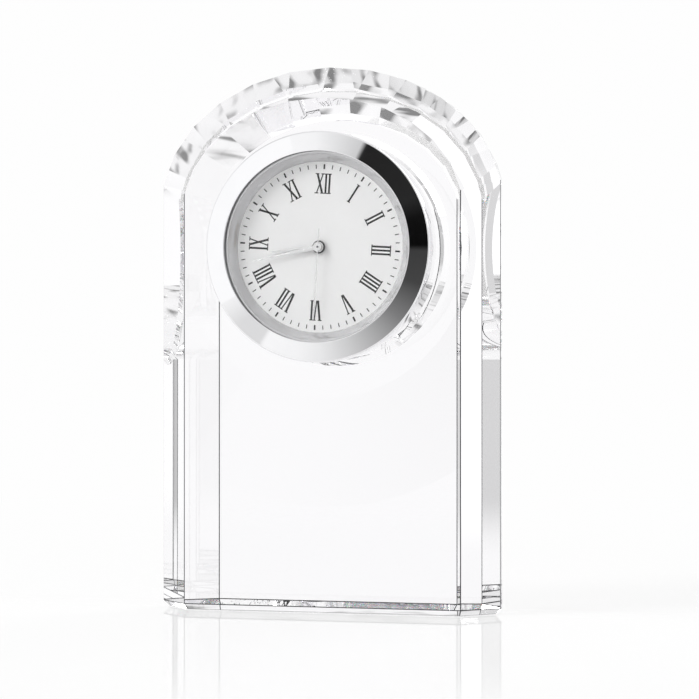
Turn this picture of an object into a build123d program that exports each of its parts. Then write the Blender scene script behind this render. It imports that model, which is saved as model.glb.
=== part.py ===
from build123d import *
import math
import os

# Shelf clock in cut crystal: an arch-topped block, bored through for a round quartz insert.
# Millimetres, +Z up, the reader looks along +Y, the origin is at the middle of the base.

# Crystal block
block_depth = 21.4
side_margin = 13.5
dial_height = 80.5
arch_crown = 40.3
arch_rise = 31.0
front_bevel = 7.35
front_bevel_depth = 7.3
side_land = 1.7
back_bevel = 11.2
base_bevel = 1.3
arch_facets = 12
arch_end_angle = 80.2
bore_arris = 1.3

# Insert: bezel, glass and dial
dial_turn = 3.6
seat_fit = 0.05
slide_fit = 0.06
bezel_overlap = 0.5
bezel_face = 4.4
bezel_wall_height = 2.8
bezel_edge_round = 0.5
bezel_rise = 0.9
bezel_lip = 0.45
skirt_gap = 1.0
skirt_wall = 1.35
skirt_depth = 3.5
lens_seat = 0.9
lens_thickness = 0.9
rehaut_height = 2.4
rehaut_front_wall = 1.5
rehaut_back_wall = 3.1
dial_thickness = 0.4
dial_foot_radius = 0.35
dial_foot_length = 1.0
dial_foot_angles = (90.0, 270.0)

# Case cup and gasket
cup_wall = 1.2
cup_floor_thickness = 1.2
cup_clearance = 0.6
snap_bead = 0.25
gasket_sleeve = 0.8
gasket_length = 4.8
gasket_lips = 2

# Movement plates
plate_margin = 2.5
plate_thickness = 1.4
plate_rim_wall = 1.3
motion_space = 1.85
holder_width = 4.3
holder_ledge = 1.0
holder_wall = 2.2
bridge_thickness = 1.0
bridge_margin = 1.6
pillar_radius = 1.2
pillar_gap = 0.5
pillar_angles = (106.0, 171.5, 297.8)
screw_radius = 0.45
screw_head_radius = 0.95
screw_head_height = 0.45
screw_length = 2.6
screw_slot_width = 0.25
screw_slot_depth = 0.2

# Going train and motion work
tooth_rise_share = 0.75
tooth_drop_share = 1.15
tooth_tip_share = 0.11
tooth_root_share = 0.26
rotor_teeth = 6
fifth_teeth = 36
fifth_pinion_teeth = 8
seconds_teeth = 40
seconds_pinion_teeth = 8
third_teeth = 60
third_pinion_teeth = 8
centre_teeth = 64
cannon_teeth = 12
minute_teeth = 36
minute_pinion_teeth = 10
hour_teeth = 40
set_teeth = 12
rotor_module = 0.2
seconds_module = 0.26
third_module = 0.18
minute_module = 0.22
third_angle = 150.0
fifth_angle = 30.0
rotor_angle = 35.0
minute_wheel_angle = 260.0
set_angle = 270.0
wheel_thickness = 0.4
pinion_length = 0.8
train_first_gap = 0.7
train_step = 0.9
train_last_gap = 0.8
motion_first_gap = 0.4
motion_step = 0.7
motion_pinion_length = 0.6
arbor_radius = 0.35
pivot_radius = 0.22
pivot_length = 0.6
running_fit = 0.04
seconds_arbor_radius = 0.25
tube_wall = 0.2
post_radius = 0.45

# Hands, as angles from twelve turned clockwise
hour_turn = 261.25
minute_turn = 255.0
second_turn = 180.0
hand_thickness = 0.22
hand_first_gap = 0.45
hand_step = 0.5
hand_tip_width = 0.12
hand_edge = 0.08
hand_ridge = 0.1
hand_tip_rise = 0.02
hour_length = 11.3
hour_width = 1.05
hour_hub = 1.45
minute_length = 15.3
minute_width = 0.95
minute_hub = 1.15
second_length = 15.6
second_tail = 4.1
second_width = 0.24
second_hub = 0.87
second_hub_rise = 0.25

# Motor, circuit and cell
magnet_radius = 1.5
magnet_length = 1.6
stator_gap = 0.4
stator_boss = 1.1
stator_limb = 1.0
stator_thickness = 0.6
stator_lift = 0.8
core_width = 1.2
core_thickness = 0.6
core_overhang = 1.2
coil_offset = 4.15
coil_drop = 2.0
coil_length = 9.0
coil_radius = 1.5
bobbin_tube_wall = 0.25
bobbin_flange = 0.4
board_length = 6.8
board_width = 4.8
board_thickness = 0.6
board_middle_x = 4.6
board_margin = 4.4
chip_radius = 1.1
chip_height = 0.7
chip_offset = 2.0
can_radius = 0.85
can_length = 5.0
can_offset = 1.3
cell_radius = 3.95
cell_height = 3.6
cell_margin = 1.25
cell_angle = 215.7
cell_step = 0.35
cell_posts = (20.0, 110.0, 290.0)
cell_post_radius = 0.5
cell_post_height = 2.4
contact_thickness = 0.2
contact_width = 1.0
tab_angle = 315.0
tab_height = 3.0

# Setting knob and battery hatch
set_shaft_radius = 0.7
set_collar = 0.5
set_collar_height = 0.5
knob_radius = 3.0
knob_height = 2.6
knob_gap = 0.4
knob_flutes = 14
knob_flute_radius = 0.3
knob_grip = 1.4
hatch_flange = 0.8
hatch_flange_thickness = 0.6
hatch_plug_gap = 0.3
hatch_notch = 1.2


def polar(radius, angle, centre=(0, 0)):
    """Point on a circle in the dial's frame, by its angle from x in degrees."""
    turn = math.radians(angle)
    return centre[0] + radius * math.cos(turn), centre[1] + radius * math.sin(turn)


# Places of the axles in the dial's frame, from the pitch circles that meet there
third_reach = third_module * (seconds_pinion_teeth + third_teeth) / 2
centre_module = 2 * third_reach / (third_pinion_teeth + centre_teeth)
third_at = polar(third_reach, third_angle)
fifth_at = polar(seconds_module * (fifth_pinion_teeth + seconds_teeth) / 2, fifth_angle)
rotor_at = polar(rotor_module * (rotor_teeth + fifth_teeth) / 2, rotor_angle, fifth_at)
minute_reach = minute_module * (cannon_teeth + minute_teeth) / 2
hour_module = 2 * minute_reach / (minute_pinion_teeth + hour_teeth)
minute_wheel_at = polar(minute_reach, minute_wheel_angle)
set_at = polar(minute_module * (minute_teeth + set_teeth) / 2, set_angle, minute_wheel_at)

# Bridge pillars, each beside the wheel or the pole that it clears
third_tip = third_module * (third_teeth / 2 + tooth_rise_share)
seconds_tip = seconds_module * (seconds_teeth / 2 + tooth_rise_share)
pole_hole = magnet_radius + stator_gap
pole_radius = pole_hole + stator_boss
pillar_clear = pillar_radius + pillar_gap
pillars = [
    polar(pole_radius + pillar_clear, pillar_angles[0], rotor_at),
    polar(third_tip + pillar_clear, pillar_angles[1], third_at),
    polar(seconds_tip + pillar_clear, pillar_angles[2]),
]

# Coil beside the rotor, then the plate and the rings round it, out to the crystal's sides
coil_reach = rotor_at[0] + coil_offset
coil_middle = rotor_at[1] - coil_drop - coil_length / 2
core_ends = [
    (coil_reach, coil_middle + (coil_length + core_overhang) / 2),
    (coil_reach, coil_middle - (coil_length + core_overhang) / 2),
]
plate_radius = coil_reach + coil_radius + plate_margin
cell_reach = plate_radius - cell_radius - cell_margin
cell_at = polar(cell_reach, cell_angle)
board_middle_y = board_width / 2 + board_margin - plate_radius
cup_inner = plate_radius + holder_width
cup_radius = cup_inner + cup_wall
skirt_radius = cup_radius + seat_fit + skirt_wall
bore_radius = skirt_radius + skirt_gap
bezel_radius = bore_radius + bezel_overlap
block_width = 2 * (bezel_radius + side_margin)
window_radius = bezel_radius - bezel_face
lens_radius = window_radius + lens_seat
dial_radius = cup_inner - seat_fit
seconds_tube_inner = seconds_arbor_radius + running_fit
centre_tube_radius = seconds_tube_inner + tube_wall
cannon_inner = centre_tube_radius + running_fit
cannon_radius = cannon_inner + tube_wall
hour_pipe_inner = cannon_radius + running_fit
hour_pipe_radius = hour_pipe_inner + tube_wall
dial_hole = hour_pipe_radius + tube_wall
overrun = 0.5

# Worked-out heights, measured towards the reader from the crystal's front face
bezel_cone_foot = bezel_wall_height + bezel_edge_round
lip_top = bezel_cone_foot + bezel_rise
lens_front = lip_top - bezel_lip
lens_back = lens_front - lens_thickness
dial_face = lens_back - rehaut_height
dial_back = dial_face - dial_thickness
plate_front = dial_back - motion_space
plate_back = plate_front - plate_thickness
centre_level = plate_back - train_first_gap
third_level = centre_level - train_step
seconds_level = third_level - train_step
fifth_level = seconds_level - train_step
bridge_front = fifth_level - train_last_gap
bridge_back = bridge_front - bridge_thickness
cup_floor = bridge_back - cup_clearance
cup_back = cup_floor - cup_floor_thickness
minute_wheel_level = plate_front + motion_first_gap
hour_wheel_level = minute_wheel_level + motion_step
hour_hand_foot = dial_face + hand_first_gap
minute_hand_foot = hour_hand_foot + hand_step
second_hand_foot = minute_hand_foot + hand_step
second_hub_top = second_hand_foot + second_hub_rise
cell_front = plate_back - contact_thickness
cell_back = cell_front - cell_height

# The dial's own frame: x to the reader's right, y towards twelve, z towards the reader
front_y = -block_depth / 2
back_y = block_depth / 2
turn_cos = math.cos(math.radians(dial_turn))
turn_sin = math.sin(math.radians(dial_turn))
dial_centre = Vector(0, front_y, dial_height)
dial_plane = Plane(dial_centre, x_dir=(turn_cos, 0, -turn_sin), z_dir=(0, -1, 0))
section_plane = Plane(dial_centre, x_dir=(turn_cos, 0, -turn_sin), z_dir=(-turn_sin, 0, -turn_cos))
insert_axis = Axis(dial_centre, (0, -1, 0))


def meshed_phase(driver_phase, driver_teeth, driver_at, teeth, at):
    """Angle of a gear's first tooth that puts a gap against the driver's tooth."""
    line = math.degrees(math.atan2(at[1] - driver_at[1], at[0] - driver_at[0]))
    driver_share = (line - driver_phase) * driver_teeth / 360
    return line + 180 - (0.5 - driver_share) * 360 / teeth


def gear_points(teeth, module, phase, at):
    """Outline of a spur gear with straight-sided teeth."""
    pitch = 360 / teeth
    root = module * (teeth / 2 - tooth_drop_share)
    tip = module * (teeth / 2 + tooth_rise_share)
    points = []
    for tooth in range(teeth):
        middle = phase + tooth * pitch
        points.append(polar(root, middle - tooth_root_share * pitch, at))
        points.append(polar(tip, middle - tooth_tip_share * pitch, at))
        points.append(polar(tip, middle + tooth_tip_share * pitch, at))
        points.append(polar(root, middle + tooth_root_share * pitch, at))
    return points


def add_gear(level, thickness, at, teeth, module, phase):
    """Add a gear, centred on a level, to the part being made."""
    with BuildSketch(dial_plane.offset(level - thickness / 2)) as profile:
        with BuildLine():
            Polyline(*gear_points(teeth, module, phase, at), close=True)
        make_face()
    extrude(profile.sketch, amount=thickness)


def add_disc(bottom, top, at, radius, mode=Mode.ADD):
    """Add or cut a round from one height to another."""
    with BuildSketch(dial_plane.offset(bottom)) as profile:
        with Locations(at):
            Circle(radius)
    extrude(profile.sketch, amount=top - bottom, mode=mode)


def add_box(bottom, top, at, length, width, turn=0, mode=Mode.ADD):
    """Add or cut a rectangular bar from one height to another."""
    with BuildSketch(dial_plane.offset(bottom)) as profile:
        with Locations(Location(at, turn)):
            Rectangle(length, width)
    extrude(profile.sketch, amount=top - bottom, mode=mode)


def add_turned(points, mode=Mode.ADD):
    """Add or cut a turned form from its half profile of radius and height."""
    with BuildSketch(section_plane) as profile:
        with BuildLine():
            Polyline(*points, close=True)
        make_face()
    revolve(profile.sketch, axis=insert_axis, mode=mode)


def add_pivots(at):
    """Add the two thin ends that run in the plate and in the bridge."""
    add_disc(plate_back - running_fit, plate_back + pivot_length, at, pivot_radius)
    add_disc(bridge_front - pivot_length, bridge_front + running_fit, at, pivot_radius)


def save(piece, name):
    """Label a finished piece and write it under its name."""
    piece.label = name
    export_step(piece, f"parts/{name}.step")


os.makedirs("parts", exist_ok=True)

# Crystal block: rows of corners round the outline, front border to back border
half_width = block_width / 2
arch_step = 2 * arch_end_angle / arch_facets
arch_slope = math.sin(math.radians(arch_end_angle))
fore_turns = [arch_step * corner - arch_end_angle for corner in range(arch_facets + 1)]
rear_turns = [turn + arch_step / 2 for turn in fore_turns[:-1]]
rear_turns = [-arch_end_angle] + rear_turns + [arch_end_angle]


def outline_row(inset, turns, depth):
    """Corners of one outline, from the left foot over the elliptic arch to the right foot."""
    half = half_width - inset
    side_reach = half / arch_slope
    rise = arch_rise * half / half_width
    middle = dial_height + arch_crown - inset - rise
    row = [Vector(-half, depth, 0)]
    for turn in turns:
        angle = math.radians(turn)
        row.append(Vector(side_reach * math.sin(angle), depth, middle + rise * math.cos(angle)))
    row.append(Vector(half, depth, 0))
    return row


def flat(*corners):
    """Flat face with the given corners."""
    return Face(Wire.make_polygon(corners))


def border(inner, outer):
    """Flat cuts between two outlines that have the same angles."""
    pairs = zip(inner[:-1], inner[1:], outer[1:], outer[:-1])
    return [flat(*corners) for corners in pairs]


front_row = outline_row(front_bevel, fore_turns, front_y)
fore_row = outline_row(0, fore_turns, front_y + front_bevel_depth)
rear_row = outline_row(0, rear_turns, front_y + front_bevel_depth + side_land)
back_row = outline_row(back_bevel, rear_turns, back_y)
rim = [flat(fore_row[k], fore_row[k + 1], rear_row[k + 1]) for k in range(1, arch_facets + 1)]
rim += [flat(rear_row[k], rear_row[k + 1], fore_row[k]) for k in range(1, arch_facets + 2)]
rim += [flat(fore_row[0], fore_row[1], rear_row[1], rear_row[0])]
rim += [flat(fore_row[-1], fore_row[-2], rear_row[-2], rear_row[-1])]
feet = [row[0] for row in (front_row, fore_row, rear_row, back_row)]
feet += [row[-1] for row in (back_row, rear_row, fore_row, front_row)]
block_faces = [flat(*front_row), flat(*back_row), flat(*feet)]
block_faces += border(front_row, fore_row) + border(back_row, rear_row) + rim

with BuildPart() as crystal_block:
    add(Solid(Shell(block_faces)))
    chamfer(crystal_block.faces().sort_by(Axis.Z)[0].edges(), length=base_bevel)
    add_disc(-block_depth, 0, (0, 0), bore_radius, Mode.SUBTRACT)
    bore_edges = crystal_block.edges().filter_by(GeomType.CIRCLE).group_by(Axis.Y)[-1]
    chamfer(bore_edges, length=bore_arris)
save(crystal_block.part, "crystal_block")

# Bezel: polished cone with a rounded edge, a seat for the lens and a skirt round the cup
with BuildPart() as bezel:
    bezel_inner = lens_radius + seat_fit
    skirt_inner = cup_radius + seat_fit
    groove_level = -skirt_depth / 2
    with BuildSketch(section_plane) as bezel_profile:
        with BuildLine():
            Polyline((skirt_radius, 0), (bezel_radius, 0), (bezel_radius, bezel_wall_height))
            JernArc(
                start=(bezel_radius, bezel_wall_height),
                tangent=(0, 1),
                radius=bezel_edge_round,
                arc_size=90,
            )
            Polyline(
                (bezel_radius - bezel_edge_round, bezel_cone_foot),
                (window_radius, lip_top),
                (window_radius, lens_front),
                (bezel_inner, lens_front),
                (bezel_inner, dial_face),
                (skirt_inner, dial_face),
                (skirt_inner, groove_level + 2 * snap_bead),
                (skirt_inner + snap_bead, groove_level + snap_bead),
                (skirt_inner + snap_bead, groove_level - snap_bead),
                (skirt_inner, groove_level - 2 * snap_bead),
                (skirt_inner, -skirt_depth),
                (skirt_radius, -skirt_depth),
                (skirt_radius, 0),
            )
        make_face()
    revolve(bezel_profile.sketch, axis=insert_axis)
save(bezel.part, "bezel")

with BuildPart() as lens:
    add_disc(lens_back, lens_front, (0, 0), lens_radius)
save(lens.part, "lens")

# Polished ring that stands between the lens and the dial
with BuildPart() as rehaut_ring:
    add_turned(
        [
            (lens_radius, dial_face),
            (lens_radius, lens_back),
            (lens_radius - rehaut_front_wall, lens_back),
            (lens_radius - rehaut_back_wall, dial_face),
        ]
    )
save(rehaut_ring.part, "rehaut_ring")

foot_reach = plate_radius - plate_rim_wall / 2
dial_feet = [polar(foot_reach, foot_angle) for foot_angle in dial_foot_angles]
with BuildPart() as dial:
    add_disc(dial_back, dial_face, (0, 0), dial_radius)
    for foot_at in dial_feet:
        add_disc(dial_back - dial_foot_length, dial_back, foot_at, dial_foot_radius)
    add_disc(dial_back, dial_face, (0, 0), dial_hole, Mode.SUBTRACT)
save(dial.part, "dial")

# Case cup with its snap bead, the hatch's stepped opening and the shaft's hole
hatch_plug = cell_radius + seat_fit
hatch_radius = hatch_plug + hatch_flange
with BuildPart() as case_cup:
    add_turned(
        [
            (0, cup_back),
            (cup_radius, cup_back),
            (cup_radius, groove_level - snap_bead),
            (cup_radius + snap_bead, groove_level),
            (cup_radius, groove_level + snap_bead),
            (cup_radius, dial_face),
            (cup_inner, dial_face),
            (cup_inner, cup_floor),
            (0, cup_floor),
        ]
    )
    add_disc(cup_back, cup_floor, cell_at, hatch_plug + slide_fit, Mode.SUBTRACT)
    hatch_step = cup_back + hatch_flange_thickness
    add_disc(cup_back, hatch_step, cell_at, hatch_radius + slide_fit, Mode.SUBTRACT)
    add_disc(cup_back, cup_floor, set_at, set_shaft_radius + running_fit, Mode.SUBTRACT)
save(case_cup.part, "case_cup")

# Soft gasket round the cup, with lips that grip the bore
with BuildPart() as gasket:
    gasket_top = -skirt_depth - seat_fit
    gasket_bottom = gasket_top - gasket_length
    sleeve_radius = cup_radius + seat_fit + gasket_sleeve
    lip_radius = bore_radius - slide_fit
    lip_pitch = gasket_length / gasket_lips
    gasket_points = [(cup_radius + seat_fit, gasket_top), (cup_radius + seat_fit, gasket_bottom)]
    for lip in range(gasket_lips):
        lip_foot = gasket_bottom + lip * lip_pitch
        gasket_points.append((sleeve_radius, lip_foot))
        gasket_points.append((lip_radius, lip_foot + lip_pitch / 2))
    gasket_points.append((sleeve_radius, gasket_top))
    add_turned(gasket_points)
save(gasket.part, "gasket")

# Ring that holds the movement in the cup and carries the dial's edge
with BuildPart() as movement_holder:
    holder_radius = cup_inner - seat_fit
    plate_seat = plate_radius + seat_fit
    ledge_radius = plate_radius - holder_ledge
    ledge_back = plate_back - holder_ledge
    add_turned(
        [
            (holder_radius, cup_floor),
            (holder_radius, dial_back),
            (plate_seat, dial_back),
            (plate_seat, plate_back),
            (ledge_radius, plate_back),
            (ledge_radius, ledge_back),
            (holder_radius - holder_wall, ledge_back),
            (holder_radius - holder_wall, cup_floor),
        ]
    )
save(movement_holder.part, "movement_holder")

# Main plate, with its rim under the dial, pillars for the bridge and posts for the cell
with BuildPart() as main_plate:
    add_disc(plate_back, plate_front, (0, 0), plate_radius)
    add_turned(
        [
            (plate_radius, plate_front),
            (plate_radius, dial_back),
            (plate_radius - plate_rim_wall, dial_back),
            (plate_radius - plate_rim_wall, plate_front),
        ]
    )
    for pillar_at in pillars:
        add_disc(bridge_front, plate_back, pillar_at, pillar_radius)
    for post_angle in cell_posts:
        post_at = polar(cell_radius + seat_fit + cell_post_radius, post_angle, cell_at)
        add_disc(plate_back - cell_post_height, plate_back, post_at, cell_post_radius)
    for core_end in core_ends:
        add_disc(plate_back - stator_lift, plate_back, core_end, core_width / 2)
    add_disc(plate_front, hour_wheel_level + motion_pinion_length, minute_wheel_at, post_radius)
    add_disc(plate_back, plate_front, (0, 0), centre_tube_radius + running_fit, Mode.SUBTRACT)
    add_disc(plate_back, plate_front, set_at, set_shaft_radius + running_fit, Mode.SUBTRACT)
    for pivot_at in (third_at, fifth_at, rotor_at):
        pivot_hole = pivot_radius + running_fit
        pivot_top = plate_back + pivot_length + running_fit
        add_disc(plate_back, pivot_top, pivot_at, pivot_hole, Mode.SUBTRACT)
    for pillar_at in pillars:
        screw_end = bridge_back + screw_length + seat_fit
        add_disc(bridge_front, screw_end, pillar_at, screw_radius + seat_fit, Mode.SUBTRACT)
    for foot_at in dial_feet:
        foot_hole = dial_foot_radius + seat_fit
        foot_end = dial_back - dial_foot_length - seat_fit
        add_disc(foot_end, dial_back, foot_at, foot_hole, Mode.SUBTRACT)
save(main_plate.part, "main_plate")

# Train bridge: one plate round the axles and pillars, held by three screws
with BuildPart() as train_bridge:
    bridge_places = [third_at, fifth_at, rotor_at] + pillars
    with BuildSketch(dial_plane.offset(bridge_back)) as bridge_outline:
        with Locations(*bridge_places):
            Circle(bridge_margin)
        make_hull()
    extrude(bridge_outline.sketch, amount=bridge_thickness)
    for pivot_at in (third_at, fifth_at, rotor_at):
        bridge_hole = pivot_radius + running_fit
        add_disc(bridge_back, bridge_front, pivot_at, bridge_hole, Mode.SUBTRACT)
    seconds_hole = seconds_arbor_radius + running_fit
    add_disc(bridge_back, bridge_front, (0, 0), seconds_hole, Mode.SUBTRACT)
    for pillar_at in pillars:
        add_disc(bridge_back, bridge_front, pillar_at, screw_radius + seat_fit, Mode.SUBTRACT)
save(train_bridge.part, "train_bridge")

with BuildPart() as bridge_screws:
    head_back = bridge_back - screw_head_height
    for pillar_at in pillars:
        add_disc(bridge_back, bridge_back + screw_length, pillar_at, screw_radius)
        add_disc(head_back, bridge_back, pillar_at, screw_head_radius)
        slot_top = head_back + screw_slot_depth
        slot_length = 2 * screw_head_radius + overrun
        add_box(head_back, slot_top, pillar_at, slot_length, screw_slot_width, mode=Mode.SUBTRACT)
save(bridge_screws.part, "bridge_screws")

# Going train, from the hollow centre wheel back to the motor's rotor
seconds_phase = 0.0
third_phase = meshed_phase(seconds_phase, seconds_pinion_teeth, (0, 0), third_teeth, third_at)
third_pinion_phase = third_phase
centre_phase = meshed_phase(third_pinion_phase, third_pinion_teeth, third_at, centre_teeth, (0, 0))
fifth_phase = meshed_phase(seconds_phase, seconds_teeth, (0, 0), fifth_pinion_teeth, fifth_at)
rotor_phase = meshed_phase(fifth_phase, fifth_teeth, fifth_at, rotor_teeth, rotor_at)

with BuildPart() as centre_wheel:
    centre_foot = centre_level - wheel_thickness / 2
    add_gear(centre_level, wheel_thickness, (0, 0), centre_teeth, centre_module, centre_phase)
    add_disc(centre_foot, hour_hand_foot, (0, 0), centre_tube_radius)
    add_disc(centre_foot, hour_hand_foot, (0, 0), seconds_tube_inner, Mode.SUBTRACT)
save(centre_wheel.part, "centre_wheel")

with BuildPart() as third_wheel:
    add_gear(third_level, wheel_thickness, third_at, third_teeth, third_module, third_phase)
    add_gear(centre_level, pinion_length, third_at, third_pinion_teeth, centre_module, third_pinion_phase)
    add_disc(bridge_front + running_fit, plate_back - running_fit, third_at, arbor_radius)
    add_pivots(third_at)
save(third_wheel.part, "third_wheel")

with BuildPart() as seconds_wheel:
    add_gear(seconds_level, wheel_thickness, (0, 0), seconds_teeth, seconds_module, seconds_phase)
    add_gear(third_level, pinion_length, (0, 0), seconds_pinion_teeth, third_module, seconds_phase)
    add_disc(bridge_back, second_hub_top, (0, 0), seconds_arbor_radius)
save(seconds_wheel.part, "seconds_wheel")

with BuildPart() as fifth_wheel:
    add_gear(fifth_level, wheel_thickness, fifth_at, fifth_teeth, rotor_module, fifth_phase)
    add_gear(seconds_level, pinion_length, fifth_at, fifth_pinion_teeth, seconds_module, fifth_phase)
    add_disc(bridge_front + running_fit, plate_back - running_fit, fifth_at, arbor_radius)
    add_pivots(fifth_at)
save(fifth_wheel.part, "fifth_wheel")

# Motor: magnet on the rotor, stator with its pole hole, and the coil on its core
stator_front = plate_back - stator_lift
stator_back = stator_front - stator_thickness
magnet_middle = (stator_front + stator_back) / 2
magnet_front = magnet_middle + magnet_length / 2
magnet_back = magnet_middle - magnet_length / 2
core_back = stator_back - core_thickness
coil_level = (stator_back + core_back) / 2

with BuildPart() as rotor_arbor:
    add_gear(fifth_level, pinion_length, rotor_at, rotor_teeth, rotor_module, rotor_phase)
    add_disc(bridge_front + running_fit, plate_back - running_fit, rotor_at, arbor_radius)
    add_pivots(rotor_at)
save(rotor_arbor.part, "rotor_arbor")

with BuildPart() as rotor_magnet:
    add_disc(magnet_back, magnet_front, rotor_at, magnet_radius)
    add_disc(magnet_back, magnet_front, rotor_at, arbor_radius, Mode.SUBTRACT)
save(rotor_magnet.part, "rotor_magnet")

with BuildPart() as stator:
    upper_end, lower_end = core_ends
    with BuildSketch(dial_plane.offset(stator_back)) as stator_outline:
        with Locations(rotor_at):
            Circle(pole_radius)
        with BuildLine() as stator_limbs:
            Polyline(rotor_at, upper_end)
        trace(stator_limbs.line, stator_limb)
        with BuildLine() as stator_return:
            Polyline(rotor_at, (rotor_at[0], lower_end[1]), lower_end)
        trace(stator_return.line, stator_limb)
        with Locations(rotor_at):
            Circle(pole_hole, mode=Mode.SUBTRACT)
    extrude(stator_outline.sketch, amount=stator_thickness)
save(stator.part, "stator")

with BuildPart() as coil_core:
    core_at = (coil_reach, coil_middle)
    core_length = coil_length + 2 * core_overhang
    add_box(core_back, stator_back, core_at, core_width, core_length)
save(coil_core.part, "coil_core")

coil_centre = dial_plane.from_local_coords(Vector(coil_reach, coil_middle - coil_length / 2, coil_level))
coil_plane = Plane(coil_centre, x_dir=dial_plane.x_dir, z_dir=dial_plane.y_dir)
core_half_diagonal = math.hypot(core_width, core_thickness) / 2
bobbin_radius = core_half_diagonal + bobbin_tube_wall
with BuildPart() as coil_bobbin:
    with BuildSketch(coil_plane) as bobbin_tube:
        Circle(bobbin_radius)
    extrude(bobbin_tube.sketch, amount=coil_length)
    for flange_start in (0, coil_length - bobbin_flange):
        with BuildSketch(coil_plane.offset(flange_start)) as flange:
            Circle(coil_radius)
        extrude(flange.sketch, amount=bobbin_flange)
    with BuildSketch(coil_plane) as core_slot:
        Rectangle(core_width, core_thickness)
    extrude(core_slot.sketch, amount=coil_length, mode=Mode.SUBTRACT)
save(coil_bobbin.part, "coil_bobbin")

with BuildPart() as coil_winding:
    with BuildSketch(coil_plane.offset(bobbin_flange)) as winding:
        Circle(coil_radius - bobbin_tube_wall / 2)
        Circle(bobbin_radius, mode=Mode.SUBTRACT)
    extrude(winding.sketch, amount=coil_length - 2 * bobbin_flange)
save(coil_winding.part, "coil_winding")

# Circuit board with its sealed chip and the crystal's tin can
board_at = (board_middle_x, board_middle_y)
board_back = plate_back - board_thickness
with BuildPart() as circuit_board:
    add_box(board_back, plate_back, board_at, board_length, board_width)
save(circuit_board.part, "circuit_board")

with BuildPart() as chip:
    chip_at = (board_middle_x + chip_offset, board_middle_y + can_offset)
    add_disc(board_back - chip_height, board_back, chip_at, chip_radius)
save(chip.part, "chip")

with BuildPart() as quartz_can:
    can_start = Vector(
        board_middle_x - can_length / 2,
        board_middle_y - can_offset,
        board_back - can_radius,
    )
    can_plane = Plane(
        dial_plane.from_local_coords(can_start), x_dir=dial_plane.y_dir, z_dir=dial_plane.x_dir
    )
    with BuildSketch(can_plane) as can_round:
        Circle(can_radius)
    extrude(can_round.sketch, amount=can_length)
save(quartz_can.part, "quartz_can")

# Cell and the two spring strips that lead to the board
with BuildPart() as cell:
    add_disc(cell_back, cell_front - cell_step, cell_at, cell_radius)
    add_disc(cell_front - cell_step, cell_front, cell_at, cell_radius - cell_step)
save(cell.part, "cell")

board_edge = board_middle_x - board_length / 2
with BuildPart() as negative_contact:
    strip_y = cell_at[1] - contact_width
    strip_start = cell_at[0]
    strip_length = board_edge - strip_start
    strip_at = (strip_start + strip_length / 2, strip_y)
    add_box(plate_back - contact_thickness, plate_back, strip_at, strip_length, contact_width)
save(negative_contact.part, "negative_contact")

with BuildPart() as positive_contact:
    tab_at = polar(cell_radius + seat_fit + contact_thickness / 2, tab_angle, cell_at)
    tab_back = plate_back - tab_height
    add_box(tab_back, plate_back, tab_at, contact_thickness, 2 * contact_width, tab_angle)
    foot_y = board_middle_y - board_width / 2 + contact_width / 2
    foot_length = board_edge - tab_at[0]
    foot_middle = (tab_at[0] + foot_length / 2, foot_y)
    add_box(plate_back - contact_thickness, plate_back, foot_middle, foot_length, contact_width)
    riser_middle = (tab_at[0], (tab_at[1] + foot_y) / 2)
    riser_length = abs(tab_at[1] - foot_y) + contact_width
    add_box(plate_back - contact_thickness, plate_back, riser_middle, contact_width, riser_length)
save(positive_contact.part, "positive_contact")

# Motion work under the dial
cannon_phase = 0.0
minute_phase = meshed_phase(cannon_phase, cannon_teeth, (0, 0), minute_teeth, minute_wheel_at)
minute_pinion_phase = minute_phase
hour_phase = meshed_phase(
    minute_pinion_phase, minute_pinion_teeth, minute_wheel_at, hour_teeth, (0, 0)
)
set_phase = meshed_phase(minute_phase, minute_teeth, minute_wheel_at, set_teeth, set_at)

with BuildPart() as cannon_pinion:
    cannon_foot = minute_wheel_level - motion_pinion_length / 2
    cannon_top = minute_hand_foot + hand_thickness
    add_gear(minute_wheel_level, motion_pinion_length, (0, 0), cannon_teeth, minute_module, cannon_phase)
    add_disc(cannon_foot, cannon_top, (0, 0), cannon_radius)
    add_disc(cannon_foot, cannon_top, (0, 0), cannon_inner, Mode.SUBTRACT)
save(cannon_pinion.part, "cannon_pinion")

with BuildPart() as minute_wheel:
    wheel_front = minute_wheel_level + wheel_thickness / 2
    pinion_top = hour_wheel_level + motion_pinion_length / 2
    pinion_middle = (wheel_front + pinion_top) / 2
    add_gear(minute_wheel_level, wheel_thickness, minute_wheel_at, minute_teeth, minute_module, minute_phase)
    add_gear(
        pinion_middle,
        pinion_top - wheel_front,
        minute_wheel_at,
        minute_pinion_teeth,
        hour_module,
        minute_pinion_phase,
    )
    wheel_foot = minute_wheel_level - wheel_thickness / 2
    add_disc(wheel_foot, pinion_top, minute_wheel_at, post_radius + running_fit, Mode.SUBTRACT)
save(minute_wheel.part, "minute_wheel")

with BuildPart() as hour_wheel:
    hour_foot = hour_wheel_level - wheel_thickness / 2
    hour_top = hour_hand_foot + hand_thickness
    add_gear(hour_wheel_level, wheel_thickness, (0, 0), hour_teeth, hour_module, hour_phase)
    add_disc(hour_foot, hour_top, (0, 0), hour_pipe_radius)
    add_disc(hour_foot, hour_top, (0, 0), hour_pipe_inner, Mode.SUBTRACT)
save(hour_wheel.part, "hour_wheel")


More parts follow.
